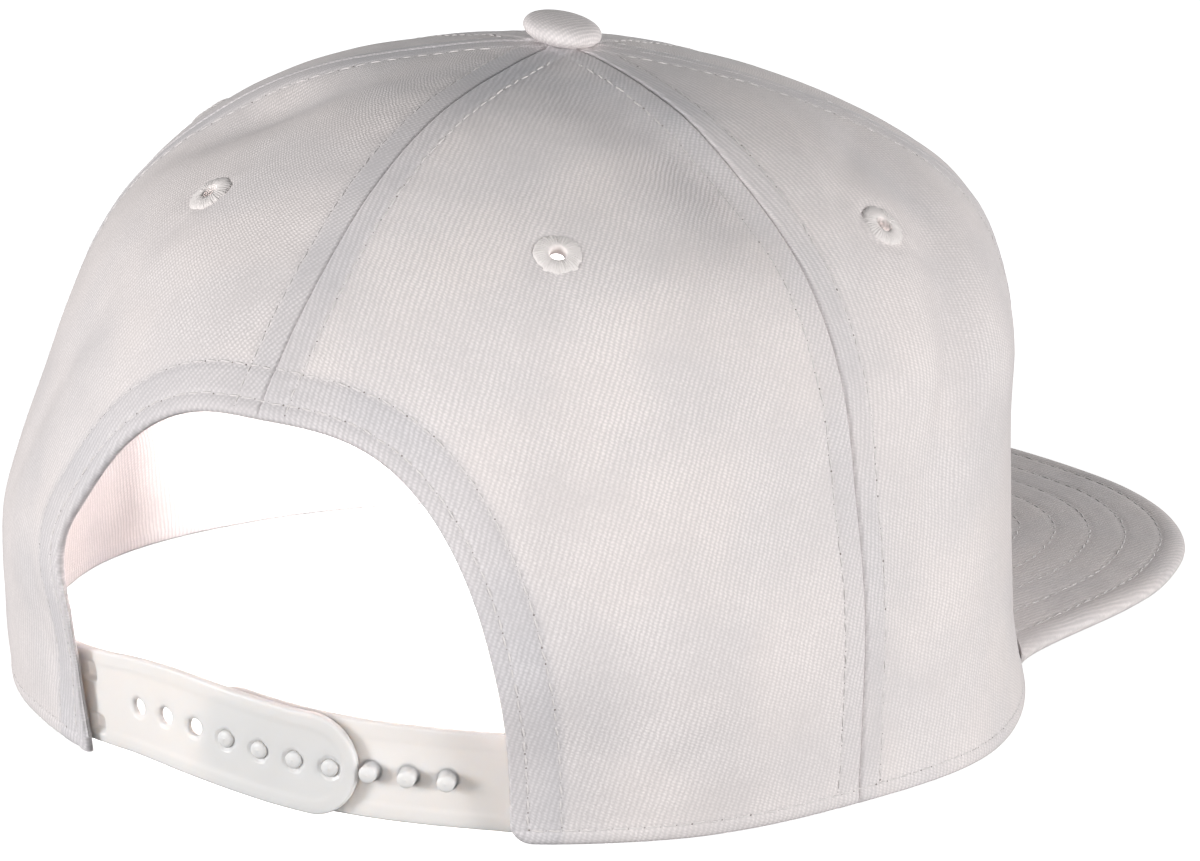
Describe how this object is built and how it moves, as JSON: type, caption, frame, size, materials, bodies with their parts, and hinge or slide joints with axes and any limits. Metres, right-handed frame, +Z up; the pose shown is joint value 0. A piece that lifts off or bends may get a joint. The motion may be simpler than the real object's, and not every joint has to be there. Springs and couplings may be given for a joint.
{
  "type": "snapback cap",
  "caption": "Structured panelled cloth cap with a flat peak, a covered button, stitched eyelets and an arched back opening closed by a fastened plastic snap strap.",
  "frame": {"origin": "middle of the cap's box, on the surface that the rim stands on", "axes": "+Z up, -Y toward the front of the peak, +Y toward the back opening, -X toward the wearer's right"},
  "size_m": [0.1874, 0.262, 0.1216],
  "materials": {
    "crown_cloth": "off-white twill",
    "thread": "off-white embroidery thread",
    "snap_plastic": "milky, softly shining"
  },
  "bodies": {
    "root": {"panel_front_left": "crown_cloth", "panel_front_right": "crown_cloth", "panel_side_left": "crown_cloth", "panel_side_right": "crown_cloth", "panel_back_left": "crown_cloth", "panel_back_right": "crown_cloth", "button": "crown_cloth", "eyelet_front_left": "thread", "eyelet_front_right": "thread", "eyelet_side_left": "thread", "eyelet_side_right": "thread", "eyelet_back_left": "thread", "eyelet_back_right": "thread", "peak": "crown_cloth", "strap_with_holes": "snap_plastic", "strap_with_pegs": "snap_plastic"}
  },
  "joints": []
}
